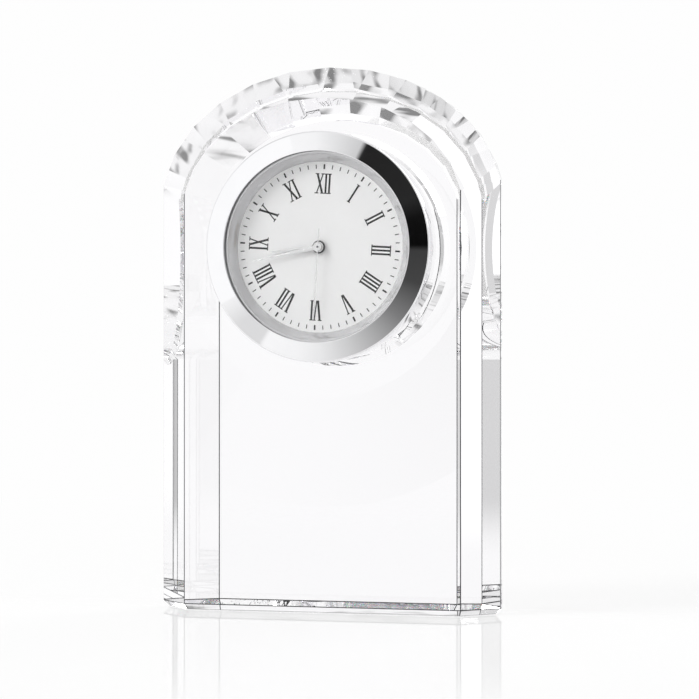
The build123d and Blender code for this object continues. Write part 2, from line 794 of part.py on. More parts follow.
# Hands: ridged blades on round hubs
def add_blade(turn, foot, start, length, width):
    """Add a blade with a ridge, tapered from its hub to its tip."""
    angle = math.radians(turn + dial_turn)
    along = Vector(math.sin(angle), 0, math.cos(angle))
    across = Vector(-math.cos(angle), 0, math.sin(angle))
    base = dial_centre + Vector(0, -foot, 0)
    sections = []
    for reach, half, rise in ((start, width / 2, hand_ridge), (length, hand_tip_width / 2, 0)):
        with BuildSketch(Plane(base + along * reach, x_dir=across, z_dir=along)) as section:
            with BuildLine():
                Polyline(
                    (-half, 0),
                    (half, 0),
                    (half, hand_edge),
                    (0, hand_edge + rise + hand_tip_rise),
                    (-half, hand_edge),
                    close=True,
                )
            make_face()
        sections.append(section.sketch)
    loft(sections, ruled=True)


with BuildPart() as hour_hand:
    hour_start = (hour_pipe_radius + hour_hub) / 2
    add_blade(hour_turn, hour_hand_foot, hour_start, hour_length, hour_width)
    hour_hub_top = hour_hand_foot + hand_thickness
    add_disc(hour_hand_foot, hour_hub_top, (0, 0), hour_hub)
    add_disc(hour_hand_foot, hour_hub_top, (0, 0), hour_pipe_radius, Mode.SUBTRACT)
save(hour_hand.part, "hour_hand")

with BuildPart() as minute_hand:
    minute_start = (cannon_radius + minute_hub) / 2
    add_blade(minute_turn, minute_hand_foot, minute_start, minute_length, minute_width)
    minute_hub_top = minute_hand_foot + hand_thickness
    add_disc(minute_hand_foot, minute_hub_top, (0, 0), minute_hub)
    add_disc(minute_hand_foot, minute_hub_top, (0, 0), cannon_radius, Mode.SUBTRACT)
save(minute_hand.part, "minute_hand")

with BuildPart() as second_hand:
    second_angle = 90 - second_turn
    second_top = second_hand_foot + hand_thickness
    second_middle = polar((second_length - second_tail) / 2, second_angle)
    needle_length = second_length + second_tail
    add_box(second_hand_foot, second_top, second_middle, needle_length, second_width, second_angle)
    add_disc(second_hand_foot, second_hub_top, (0, 0), second_hub)
    add_disc(second_hand_foot, second_hub_top, (0, 0), seconds_arbor_radius, Mode.SUBTRACT)
save(second_hand.part, "second_hand")

# Setting shaft and fluted knob, reached from behind
knob_front = cup_back - knob_gap
knob_back = knob_front - knob_height
with BuildPart() as set_shaft:
    collar_front = plate_back - running_fit
    pinion_front = minute_wheel_level + motion_pinion_length / 2
    add_gear(minute_wheel_level, motion_pinion_length, set_at, set_teeth, minute_module, set_phase)
    add_disc(knob_back + knob_gap, pinion_front, set_at, set_shaft_radius)
    add_disc(collar_front - set_collar_height, collar_front, set_at, set_shaft_radius + set_collar)
save(set_shaft.part, "set_shaft")

with BuildPart() as set_knob:
    add_disc(knob_back, knob_front, set_at, knob_radius)
    for flute in range(knob_flutes):
        flute_at = polar(knob_radius, flute * 360 / knob_flutes, set_at)
        add_disc(knob_back, knob_back + knob_grip, flute_at, knob_flute_radius, Mode.SUBTRACT)
    add_disc(knob_back + knob_gap, knob_front, set_at, set_shaft_radius, Mode.SUBTRACT)
save(set_knob.part, "set_knob")

# Battery hatch: a plug with a flange and a fingernail notch
with BuildPart() as battery_hatch:
    plug_front = cell_back - hatch_plug_gap
    add_disc(cup_back, cup_back + hatch_flange_thickness, cell_at, hatch_radius)
    add_disc(cup_back + hatch_flange_thickness, plug_front, cell_at, hatch_plug)
    notch_at = polar(hatch_radius, cell_angle, cell_at)
    add_disc(cup_back, cup_back + hatch_flange_thickness, notch_at, hatch_notch, Mode.SUBTRACT)
save(battery_hatch.part, "battery_hatch")
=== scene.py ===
"""Looks of a cut-crystal shelf clock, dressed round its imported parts.

Lengths are in millimetres in the clock's pieces, and in metres in the finishes and the set.
"""

import logging
import math
from collections.abc import Callable, Sequence
from dataclasses import dataclass
from enum import Enum

import bmesh
import bpy
from mathutils import Matrix, Vector


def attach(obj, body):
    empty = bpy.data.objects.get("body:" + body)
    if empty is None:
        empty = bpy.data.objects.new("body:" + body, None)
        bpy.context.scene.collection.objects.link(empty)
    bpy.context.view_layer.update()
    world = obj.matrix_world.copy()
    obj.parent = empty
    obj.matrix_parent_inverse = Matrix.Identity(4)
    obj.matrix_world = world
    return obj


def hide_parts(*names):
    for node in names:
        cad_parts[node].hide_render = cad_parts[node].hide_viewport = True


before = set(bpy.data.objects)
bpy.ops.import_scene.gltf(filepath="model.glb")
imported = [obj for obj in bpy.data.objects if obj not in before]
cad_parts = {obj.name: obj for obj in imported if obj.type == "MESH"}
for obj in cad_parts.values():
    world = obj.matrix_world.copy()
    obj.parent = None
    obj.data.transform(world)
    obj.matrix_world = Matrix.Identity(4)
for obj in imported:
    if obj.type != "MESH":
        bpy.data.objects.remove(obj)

LOG = logging.getLogger("crystal_clock")
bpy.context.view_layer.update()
MM = 0.001
CIRCLE = 360.0
UNIT = (0.0, 1.0)
EVEN = (1.0, 1.0, 1.0)
WHITE = (1.0, 1.0, 1.0, 1.0)
FLATTENED = 1e6

Mesh = bmesh.types.BMesh
Material = bpy.types.Material
Socket = bpy.types.NodeSocket
Colour = tuple[float, float, float]
Place = tuple[float, float, float]
Span = tuple[float, float]
Levels = Sequence[tuple[float, float]]
Profile = Sequence[tuple[float, float]]
Feed = float | Sequence[float] | Socket


class Body(str, Enum):
    """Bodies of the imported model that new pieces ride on."""

    BLOCK = "block"
    INSERT = "insert"
    SETTING = "setting"
    HATCH = "hatch"


class DialFrame:
    """The insert's own frame: radii and angles about the dial's axis, heights towards the reader."""

    CENTRE_HEIGHT = 80.5 * MM
    FRONT = -10.7 * MM
    TURN = 3.6

    @classmethod
    def axis_point(cls) -> Vector:
        """Point of the dial's axis on the crystal's front face."""
        return Vector((0, cls.FRONT, cls.CENTRE_HEIGHT))

    @classmethod
    def placed(cls, clock_angle: float, height: float) -> Matrix:
        """Give the frame of a mark on the dial.

        Args:
            clock_angle: Degrees clockwise from twelve.
            height: Distance from the crystal's front face towards the reader, in millimetres.

        Returns:
            Matrix on the dial's axis whose x runs clockwise, y outwards and z towards the reader.
        """
        turn = math.radians(clock_angle + cls.TURN)
        outwards = Vector((math.sin(turn), 0, math.cos(turn)))
        clockwise = Vector((math.cos(turn), 0, -math.sin(turn)))
        reader = Vector((0, -1, 0))
        place = Matrix.Identity(4)
        for column, axis in enumerate((clockwise, outwards, reader)):
            place.col[column][:3] = axis
        place.translation = cls.axis_point() + reader * height * MM
        return place


class NodeSheet:
    """Nodes of one material or world, laid out and joined."""

    def __init__(self, owner: Material | bpy.types.World) -> None:
        """Start with an empty tree.

        Args:
            owner: Material or world that the tree belongs to.
        """
        owner.use_nodes = True
        self.owner = owner
        self.tree = owner.node_tree
        self.tree.nodes.clear()

    def feed(self, socket: Socket, value: Feed) -> None:
        """Lead another socket into this one, or set its constant.

        Args:
            socket: Input of a node.
            value: Output to join to it, or the constant.
        """
        if isinstance(value, Socket):
            self.tree.links.new(value, socket)
        else:
            socket.default_value = value

    def fill(self, node: bpy.types.Node, **inputs: Feed) -> None:
        """Fill some sockets of a node.

        Args:
            node: Node to fill in.
            inputs: What goes into each socket, by its name with underscores for spaces.
        """
        for name, value in inputs.items():
            self.feed(node.inputs[name.replace("_", " ")], value)

    def add(self, kind: str, **inputs: Feed) -> bpy.types.Node:
        """Add a node.

        Args:
            kind: Its kind, without the common prefix.
            inputs: What goes into each socket, by its name with underscores for spaces.

        Returns:
            The node.
        """
        node = self.tree.nodes.new(f"ShaderNode{kind}")
        self.fill(node, **inputs)
        return node

    def work(self, kind: str, operation: str, *values: Feed) -> bpy.types.Node:
        """Work something out.

        Args:
            kind: Kind of the node, for numbers or for vectors.
            operation: What is done.
            values: What it is done with.

        Returns:
            The node.
        """
        node = self.add(kind)
        node.operation = operation
        for socket, value in zip(node.inputs, values):
            self.feed(socket, value)
        return node

    def span(self, value: Feed, start: Span, end: Span = UNIT, smooth: bool = False) -> Socket:
        """Carry a value over from one range to another.

        Args:
            value: Value to carry over.
            start: Range that it comes from.
            end: Range that it goes to.
            smooth: Whether it eases in and out.

        Returns:
            The value in its new range.
        """
        node = self.add("MapRange", Value=value, From_Min=start[0], From_Max=start[1])
        self.fill(node, To_Min=end[0], To_Max=end[1])
        if smooth:
            node.interpolation_type = "SMOOTHSTEP"
        return node.outputs["Result"]

    def ramp(self, value: Feed, stops: Levels) -> Socket:
        """Turn a value into a grey level.

        Args:
            value: Value from 0 to 1.
            stops: Place and grey level of each stop.

        Returns:
            The grey level.
        """
        node = self.add("ValToRGB", Fac=value)
        elements = node.color_ramp.elements
        given = len(elements)
        for index, (place, level) in enumerate(stops):
            element = elements[index] if index < given else elements.new(place)
            element.position = place
            element.color = grey(level)
        return node.outputs["Color"]

    def bearing(self, place: Feed, across: str, along: str, levels: Levels) -> Socket:
        """Shade by the bearing round an axis.

        Args:
            place: Place or direction.
            across: Axis at a bearing of 90 degrees.
            along: Axis at a bearing of 0 degrees.
            levels: Bearing, in degrees, and grey level of each stop.

        Returns:
            The grey level.
        """
        axes = self.add("SeparateXYZ", Vector=place).outputs
        angle = self.work("Math", "ARCTAN2", axes[across], axes[along]).outputs["Value"]
        turn = self.span(angle, (-math.pi, math.pi))
        return self.ramp(turn, [(degrees / CIRCLE + 0.5, level) for degrees, level in levels])

    def blend(self, share: Feed, first: Feed, second: Feed, how: str = "MIX") -> Socket:
        """Blend two colours.

        Args:
            share: Share of the second colour.
            first: Colour at 0.
            second: Colour at 1.
            how: Way of blending.

        Returns:
            The colour.
        """
        node = self.add("Mix", Factor=share)
        node.data_type = "RGBA"
        node.blend_type = how
        colours = [socket for socket in node.inputs if socket.type == "RGBA"]
        for socket, value in zip(colours, (first, second)):
            self.feed(socket, value)
        return next(socket for socket in node.outputs if socket.type == "RGBA")

    def mix(self, share: Feed, first: Feed, second: Feed) -> Socket:
        """Mix two shaders.

        Args:
            share: Share of the second shader.
            first: Shader at 0.
            second: Shader at 1.

        Returns:
            The mixed shader.
        """
        node = self.add("MixShader", Fac=share)
        for socket, shader in zip(node.inputs[1:], (first, second)):
            self.feed(socket, shader)
        return node.outputs["Shader"]

    def glow(self, colour: Feed = WHITE, strength: Feed = 1.0) -> Socket:
        """Give a shader that glows by itself."""
        return self.add("Emission", Color=colour, Strength=strength).outputs["Emission"]


class FinishSheet(NodeSheet):
    """Nodes of one finish, round a Principled shader."""

    def __init__(self, name: str) -> None:
        """Start a material with only the shader and an output.

        Args:
            name: Name of the material.
        """
        super().__init__(bpy.data.materials.new(name))
        self.shader = self.add("BsdfPrincipled")
        self.output = self.add("OutputMaterial", Surface=self.shader.outputs["BSDF"])

    def shade(self, **inputs: Feed) -> None:
        """Fill sockets of the shader itself, by name with underscores for spaces."""
        self.fill(self.shader, **inputs)

    def coordinates(self, stretch: Sequence[float] = EVEN, turn: float = 0.0) -> Socket:
        """Give the piece's own coordinates, centred on the dial.

        Args:
            stretch: Scale along each axis.
            turn: Turn about the dial's axis, in radians.

        Returns:
            The vector socket.
        """
        mapping = self.add("Mapping", Vector=self.add("TexCoord").outputs["Object"])
        mapping.vector_type = "TEXTURE"
        self.fill(mapping, Location=(0, 0, DialFrame.CENTRE_HEIGHT), Rotation=(0, turn, 0), Scale=stretch)
        return mapping.outputs["Vector"]

    def noise(self, scale: float, detail: float, stretch: Sequence[float] = EVEN) -> Socket:
        """Give a noise value over the piece.

        Args:
            scale: Number of blotches in a metre.
            detail: Octaves of finer noise.
            stretch: Scale along each axis.

        Returns:
            The value socket, from 0 to 1.
        """
        texture = self.add("TexNoise", Scale=scale, Detail=detail, Vector=self.coordinates(stretch))
        return texture.outputs["Fac"]

    def beyond(self, inner: float, outer: float) -> Socket:
        """Give 0 near the dial's axis and 1 away from it.

        Args:
            inner: Radius up to which it is 0, in metres.
            outer: Radius from which it is 1, in metres.

        Returns:
            The value socket.
        """
        flat = self.coordinates((1, FLATTENED, 1))
        return self.span(self.work("VectorMath", "LENGTH", flat).outputs["Value"], (inner, outer))

    def raise_by(self, height: Feed, strength: float, distance: float) -> None:
        """Raise the surface a little by a value.

        Args:
            height: Height from 0 to 1.
            strength: Share of the effect.
            distance: Height of a full step, in metres.
        """
        bump = self.add("Bump", Height=height, Strength=strength, Distance=distance)
        self.shade(Normal=bump.outputs["Normal"])

    def let_lamps_through(self) -> None:
        """Let lamp light pass straight through thin glass."""
        shadow = self.add("LightPath").outputs["Is Shadow Ray"]
        clear = self.add("BsdfTransparent").outputs["BSDF"]
        self.fill(self.output, Surface=self.mix(shadow, self.shader.outputs["BSDF"], clear))


def grey(level: float) -> tuple[float, float, float, float]:
    """Give an opaque grey of one level."""
    return (level, level, level, 1.0)


@dataclass(frozen=True)
class Finish:
    """Common part of every finish: its name."""

    name: str

    def make(self) -> Material:
        """Make the material, once.

        Returns:
            The material of that name.
        """
        known = bpy.data.materials.get(self.name)
        if known is not None:
            return known
        sheet = FinishSheet(self.name)
        self.paint(sheet)
        return sheet.owner

    def paint(self, sheet: FinishSheet) -> None:
        """Fill in the node tree."""
        raise NotImplementedError


@dataclass(frozen=True)
class ClearGlass(Finish):
    """Clear polished glass or crystal."""

    colour: Colour = (0.955, 0.95, 0.962)
    ior: float = 1.52
    haze: float = 0.006
    cloud: float = 35.0
    octaves: float = 3.0
    thin: bool = False

    def paint(self, sheet: FinishSheet) -> None:
        """Fill in the node tree."""
        sheet.shade(Base_Color=(*self.colour, 1), Transmission_Weight=1.0, IOR=self.ior)
        sheet.shade(Roughness=sheet.span(sheet.noise(self.cloud, self.octaves), UNIT, (0.0, self.haze)))
        if self.thin:
            sheet.let_lamps_through()


@dataclass(frozen=True)
class GrainedFinish(Finish):
    """Opaque finish whose colour, gloss and height follow a fine grain."""

    colour: Colour = (0.8, 0.8, 0.8)
    dull: Colour = (0.74, 0.74, 0.74)
    smooth: float = 0.42
    rough: float = 0.6
    grain: float = 900.0
    octaves: float = 3.0
    drawn: tuple[float, float, float] = EVEN
    coarser: float = 1.0
    colour_octaves: float = 3.0
    relief: float = 0.0
    depth: float = 0.0
    metal: float = 0.0
    specular: float = 0.5

    def hue(self, sheet: FinishSheet, grain: Socket) -> Socket:
        """Vary the colour over the piece.

        Args:
            sheet: Sheet of the finish.
            grain: Its fine grain, which a coarser pattern can stand in for.

        Returns:
            The base colour.
        """
        if self.coarser > 1:
            grain = sheet.noise(self.grain / self.coarser, self.colour_octaves)
        return sheet.blend(grain, (*self.dull, 1), (*self.colour, 1))

    def paint(self, sheet: FinishSheet) -> None:
        """Fill in the node tree."""
        sheet.shade(Metallic=self.metal, Specular_IOR_Level=self.specular)
        grain = sheet.noise(self.grain, self.octaves, self.drawn)
        sheet.shade(Base_Color=self.hue(sheet, grain))
        sheet.shade(Roughness=sheet.span(grain, UNIT, (self.smooth, self.rough)))
        if self.relief:
            sheet.raise_by(grain, self.relief, self.depth)


@dataclass(frozen=True)
class PaintedArrisShade(GrainedFinish):
    """Narrow broken edge of the crystal, painted near black: painted shade that stands in for the light a
    polished glass edge turns aside.
    """

    colour: Colour = (0.12, 0.123, 0.13)
    dull: Colour = (0.05, 0.052, 0.058)
    smooth: float = 0.18
    rough: float = 0.4
    grain: float = 1600.0
    specular: float = 0.1


@dataclass(frozen=True)
class PolishedMetal(GrainedFinish):
    """Bright metal with faint smears."""

    colour: Colour = (0.9, 0.9, 0.91)
    dull: Colour = (0.86, 0.86, 0.875)
    smooth: float = 0.02
    rough: float = 0.07
    grain: float = 240.0
    octaves: float = 4.0
    metal: float = 1.0


@dataclass(frozen=True)
class SilverHand(PolishedMetal):
    """Silvered hand with a soft gloss."""

    colour: Colour = (0.74, 0.74, 0.745)
    dull: Colour = (0.7, 0.7, 0.705)
    smooth: float = 0.2
    rough: float = 0.3
    grain: float = 900.0


@dataclass(frozen=True)
class ShadedHubHand(SilverHand):
    """Silvered hand whose hub is painted near black: painted shade for the shaded side of the hub stack."""

    # Near-black painted shade on the hub, out to the radius below.
    hub_shade: Colour = (0.04, 0.04, 0.042)
    hub_shade_radius: float = 1.4 * MM
    hub_shade_blend: float = 0.2 * MM

    def hue(self, sheet: FinishSheet, grain: Socket) -> Socket:
        """Paint the hub near black alone, as painted shade.

        Args:
            sheet: Sheet of the finish.
            grain: Its fine grain, which the colour of this hand leaves aside.

        Returns:
            The base colour.
        """
        away = sheet.beyond(self.hub_shade_radius, self.hub_shade_radius + self.hub_shade_blend)
        return sheet.blend(away, (*self.hub_shade, 1), (*self.colour, 1))


@dataclass(frozen=True)
class TurnedMetal(GrainedFinish):
    """Machined metal with fine marks of the tool."""

    colour: Colour = (0.6, 0.6, 0.61)
    dull: Colour = (0.5, 0.5, 0.515)
    smooth: float = 0.22
    rough: float = 0.38
    grain: float = 2600.0
    drawn: tuple[float, float, float] = (1, 1, 0.15)
    relief: float = 0.4
    depth: float = 0.004 * MM
    metal: float = 1.0


@dataclass(frozen=True)
class MouldedPlastic(GrainedFinish):
    """Moulded plastic with a fine spark-eroded grain."""

    grain: float = 5200.0
    octaves: float = 2.0
    coarser: float = 12.0
    relief: float = 0.5
    depth: float = 0.012 * MM


@dataclass(frozen=True)
class SoftSeal(GrainedFinish):
    """Soft, milky translucent sealing rubber."""

    colour: Colour = (0.86, 0.87, 0.87)
    dull: Colour = (0.8, 0.81, 0.82)
    relief: float = 0.3
    depth: float = 0.01 * MM
    milk: float = 0.4
    milk_depth: float = 0.6 * MM
    ior: float = 1.42

    def paint(self, sheet: FinishSheet) -> None:
        """Fill in the node tree."""
        super().paint(sheet)
        sheet.shade(Subsurface_Weight=self.milk, Subsurface_Scale=self.milk_depth, IOR=self.ior)


@dataclass(frozen=True)
class SatinDial(GrainedFinish):
    """Satin silver-white lacquer on the dial plate."""

    colour: Colour = (0.92, 0.92, 0.92)
    dull: Colour = (0.89, 0.89, 0.892)
    rough: float = 0.55
    grain: float = 9000.0
    octaves: float = 2.0
    coarser: float = 21.4
    colour_octaves: float = 4.0
    relief: float = 0.25
    depth: float = 0.003 * MM
    specular: float = 0.35


@dataclass(frozen=True)
class PrintedInk(GrainedFinish):
    """Black dial print with slightly uneven cover."""

    colour: Colour = (0.012, 0.012, 0.013)
    dull: Colour = (0.004, 0.004, 0.005)
    smooth: float = 0.35
    rough: float = 0.55
    grain: float = 6000.0
    relief: float = 0.3
    depth: float = 0.002 * MM
    specular: float = 0.15


@dataclass(frozen=True)
class WoundWire(Finish):
    """Enamelled wire laid turn by turn."""

    colour: Colour = (0.75, 0.36, 0.17)
    dull: Colour = (0.42, 0.17, 0.07)
    smooth: float = 0.25
    rough: float = 0.45
    turns: float = 1800.0
    unevenness: float = 0.6
    relief: float = 0.8
    depth: float = 0.03 * MM
    enamel: float = 0.4

    def paint(self, sheet: FinishSheet) -> None:
        """Fill in the node tree."""
        sheet.shade(Metallic=1.0, Coat_Weight=self.enamel)
        along = sheet.coordinates(turn=math.radians(DialFrame.TURN))
        wave = sheet.add("TexWave", Vector=along, Scale=self.turns, Distortion=self.unevenness)
        wave.bands_direction = "Z"
        wire = wave.outputs["Fac"]
        sheet.shade(Base_Color=sheet.blend(wire, (*self.dull, 1), (*self.colour, 1)))
        sheet.shade(Roughness=sheet.span(wire, UNIT, (self.rough, self.smooth)))
        sheet.raise_by(wire, self.relief, self.depth)


CRYSTAL = ClearGlass("cut_crystal")
# Near-black finish of the broken arrises: painted shade on the crystal's edges.
CRYSTAL_ARRIS_SHADE = PaintedArrisShade("crystal_arris_shade")
WATCH_GLASS = ClearGlass("flat_dial_glass", (0.99, 0.99, 0.99), haze=0.01, thin=True)
BRIGHT_CHROME = PolishedMetal("bright_chrome")
SILVERED_RING = PolishedMetal(
    "silvered_ring", (0.66, 0.66, 0.67), (0.64, 0.64, 0.65), smooth=0.06, rough=0.1, grain=60.0, metal=0.65
)
HAND_SILVER = SilverHand("hand_silver")
# Silvered hand finish with its hub painted near black as painted shade.
SHADED_HUB_SILVER = ShadedHubHand("shaded_hub_silver")
DIAL_LACQUER = SatinDial("dial_lacquer")
DIAL_INK = PrintedInk("dial_ink")
SEAL_RUBBER = SoftSeal("seal_rubber")
WHITE_CASE = MouldedPlastic("white_case", (0.84, 0.84, 0.83), (0.8, 0.8, 0.79), 0.34, 0.52)
PALE_PLATE = MouldedPlastic("pale_plate", (0.82, 0.82, 0.8), (0.76, 0.76, 0.74), 0.42, 0.6)
IVORY_WHEEL = MouldedPlastic("ivory_wheel", (0.88, 0.86, 0.78), (0.8, 0.78, 0.7), 0.3, 0.48)
BLACK_RESIN = MouldedPlastic("black_resin", (0.02, 0.02, 0.02), (0.012, 0.012, 0.012), 0.27, 0.45)
BOARD_GREEN = MouldedPlastic("board_laminate", (0.05, 0.2, 0.09), (0.03, 0.14, 0.06), 0.32, 0.5, 2400.0)
TURNED_BRASS = TurnedMetal("turned_brass", (0.8, 0.62, 0.3), (0.68, 0.5, 0.22), 0.18, 0.34)
PLAIN_STEEL = TurnedMetal("plain_steel")
DARK_STEEL = TurnedMetal("dark_steel", (0.2, 0.2, 0.21), (0.14, 0.14, 0.15), 0.24, 0.4)
SINTERED_MAGNET = TurnedMetal("sintered_magnet", (0.22, 0.22, 0.23), (0.15, 0.15, 0.16), 0.42, 0.58)
COPPER_WIRE = WoundWire("copper_wire")

CAD_FINISHES: dict[str, Finish] = {
    "dial": DIAL_LACQUER,
    # The hour hand's hub is painted near black, as painted shade.
    "hour_hand": SHADED_HUB_SILVER,
    "minute_hand": HAND_SILVER,
    "second_hand": HAND_SILVER,
    "movement_holder": PALE_PLATE,
    "main_plate": PALE_PLATE,
    "train_bridge": PALE_PLATE,
    "bridge_screws": PLAIN_STEEL,
    "centre_wheel": IVORY_WHEEL,
    "third_wheel": IVORY_WHEEL,
    "fifth_wheel": IVORY_WHEEL,
    "minute_wheel": IVORY_WHEEL,
    "hour_wheel": IVORY_WHEEL,
    "seconds_wheel": DARK_STEEL,
    "cannon_pinion": TURNED_BRASS,
    "rotor_arbor": TURNED_BRASS,
    "rotor_magnet": SINTERED_MAGNET,
    "stator": PLAIN_STEEL,
    "coil_core": PLAIN_STEEL,
    "coil_bobbin": BLACK_RESIN,
    "coil_winding": COPPER_WIRE,
    "circuit_board": BOARD_GREEN,
    "chip": BLACK_RESIN,
    "quartz_can": PLAIN_STEEL,
    "cell": PLAIN_STEEL,
    "negative_contact": TURNED_BRASS,
    "positive_contact": TURNED_BRASS,
    "set_shaft": PLAIN_STEEL,
}


def linked(name: str, mesh: Mesh, material: Material) -> bpy.types.Object:
    """Turn a bmesh into an object of the scene.

    Args:
        name: Name of the object.
        mesh: Its finished geometry, in place.
        material: Its first material.

    Returns:
        The new object.
    """
    data = bpy.data.meshes.new(name)
    mesh.to_mesh(data)
    mesh.free()
    data.materials.append(material)
    piece = bpy.data.objects.new(name, data)
    bpy.context.scene.collection.objects.link(piece)
    return piece


def finished(name: str, mesh: Mesh, finish: Finish, body: Body) -> bpy.types.Object:
    """Turn a bmesh into a dressed piece that rides on a body.

    Args:
        name: Name of the piece.
        mesh: Its finished geometry, in place.
        finish: Its finish.
        body: Body that it rides on.

    Returns:
        The new object.
    """
    piece = linked(name, mesh, finish.make())
    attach(piece, body.value)
    LOG.info("%s: %d faces on %s", name, len(piece.data.polygons), body.value)
    return piece


def mark_sharp(mesh: Mesh, angle: float) -> None:
    """Shade smoothly, but for edges sharper than an angle.

    Args:
        mesh: Mesh to shade.
        angle: Angle in degrees.
    """
    limit = math.radians(angle)
    for face in mesh.faces:
        face.smooth = True
    for edge in mesh.edges:
        edge.smooth = edge.is_manifold and edge.calc_face_angle(0.0) < limit


def turned(profile: Profile, steps: int, merge: float = 0.002) -> Mesh:
    """Turn a closed profile about the dial's axis.

    Args:
        profile: Radius and height of each corner.
        steps: Number of segments.
        merge: Distance within which corners become one.

    Returns:
        The closed ring.
    """
    mesh = bmesh.new()
    centre = DialFrame.axis_point()
    corners = [mesh.verts.new(centre + Vector((radius, -height, 0)) * MM) for radius, height in profile]
    edges = [mesh.edges.new(pair) for pair in zip(corners, corners[1:] + corners[:1])]
    bmesh.ops.spin(
        mesh,
        geom=corners + edges,
        cent=centre,
        axis=(0, 1, 0),
        angle=math.tau,
        steps=steps,
        use_merge=True,
        use_duplicate=False,
    )
    bmesh.ops.remove_doubles(mesh, verts=mesh.verts[:], dist=merge * MM)
    bmesh.ops.recalc_face_normals(mesh, faces=mesh.faces[:])
    return mesh


def cad_copy(node: str, merge: float = 0.001, flat_angle: float = 0.2) -> Mesh:
    """Copy a node's mesh and join its loose triangles.

    Args:
        node: Name of the node.
        merge: Distance within which corners become one.
        flat_angle: Angle, in degrees, up to which faces become one.

    Returns:
        The joined copy.
    """
    mesh = bmesh.new()
    mesh.from_mesh(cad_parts[node].data)
    bmesh.ops.remove_doubles(mesh, verts=mesh.verts[:], dist=merge * MM)
    bmesh.ops.dissolve_limit(
        mesh,
        angle_limit=math.radians(flat_angle),
        use_dissolve_boundaries=False,
        verts=mesh.verts[:],
        edges=mesh.edges[:],
    )
    return mesh


def soften(
    mesh: Mesh,
    angle: float,
    offset: float,
    leave: Callable[[bmesh.types.BMEdge], bool] = lambda edge: False,
) -> list[bmesh.types.BMFace]:
    """Break the sharp edges with a narrow bevel.

    Args:
        mesh: Mesh to work on.
        angle: Least angle of an edge that counts, in degrees.
        offset: Width of the bevel.
        leave: Whether an edge is left as it is.

    Returns:
        The new narrow faces.
    """
    limit = math.radians(angle)
    sharp = [edge for edge in mesh.edges if edge.is_manifold and edge.calc_face_angle(0.0) > limit]
    result = bmesh.ops.bevel(
        mesh,
        geom=[edge for edge in sharp if not leave(edge)],
        offset=offset * MM,
        offset_type="OFFSET",
        segments=1,
        profile=0.5,
        affect="EDGES",
        clamp_overlap=True,
        material=-1,
    )
    return result["faces"]


@dataclass
class CrystalBlock:
    """The cut and polished block, with its arrises just broken and painted near black as painted shade."""

    arris: float = 0.13
    arris_angle: float = 20.0
    smooth_angle: float = 7.0
    spring: float = 91.0
    bore_reach: float = 26.6

    def stays_keen(self, edge: bmesh.types.BMEdge) -> bool:
        """Tell whether an edge is polished out to a keen line, with no bevel and so no painted arris shade.

        Args:
            edge: Edge of the block.

        Returns:
            True round the bore and over the arch.
        """
        middle = (edge.verts[0].co + edge.verts[1].co) / 2
        from_axis = middle - DialFrame.axis_point()
        if math.hypot(from_axis.x, from_axis.z) < self.bore_reach * MM:
            return True
        return min(corner.co.z for corner in edge.verts) > self.spring * MM

    def build(self) -> None:
        """Make the block in place of its node."""
        mesh = cad_copy("crystal_block")
        # Each narrow bevel face takes the second, near-black arris finish: painted shade for the light that
        # a glass edge turns aside.
        for face in soften(mesh, self.arris_angle, self.arris, self.stays_keen):
            face.material_index = 1
        mark_sharp(mesh, self.smooth_angle)
        piece = finished("cut_crystal_block", mesh, CRYSTAL, Body.BLOCK)
        piece.data.materials.append(CRYSTAL_ARRIS_SHADE.make())
        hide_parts("crystal_block")


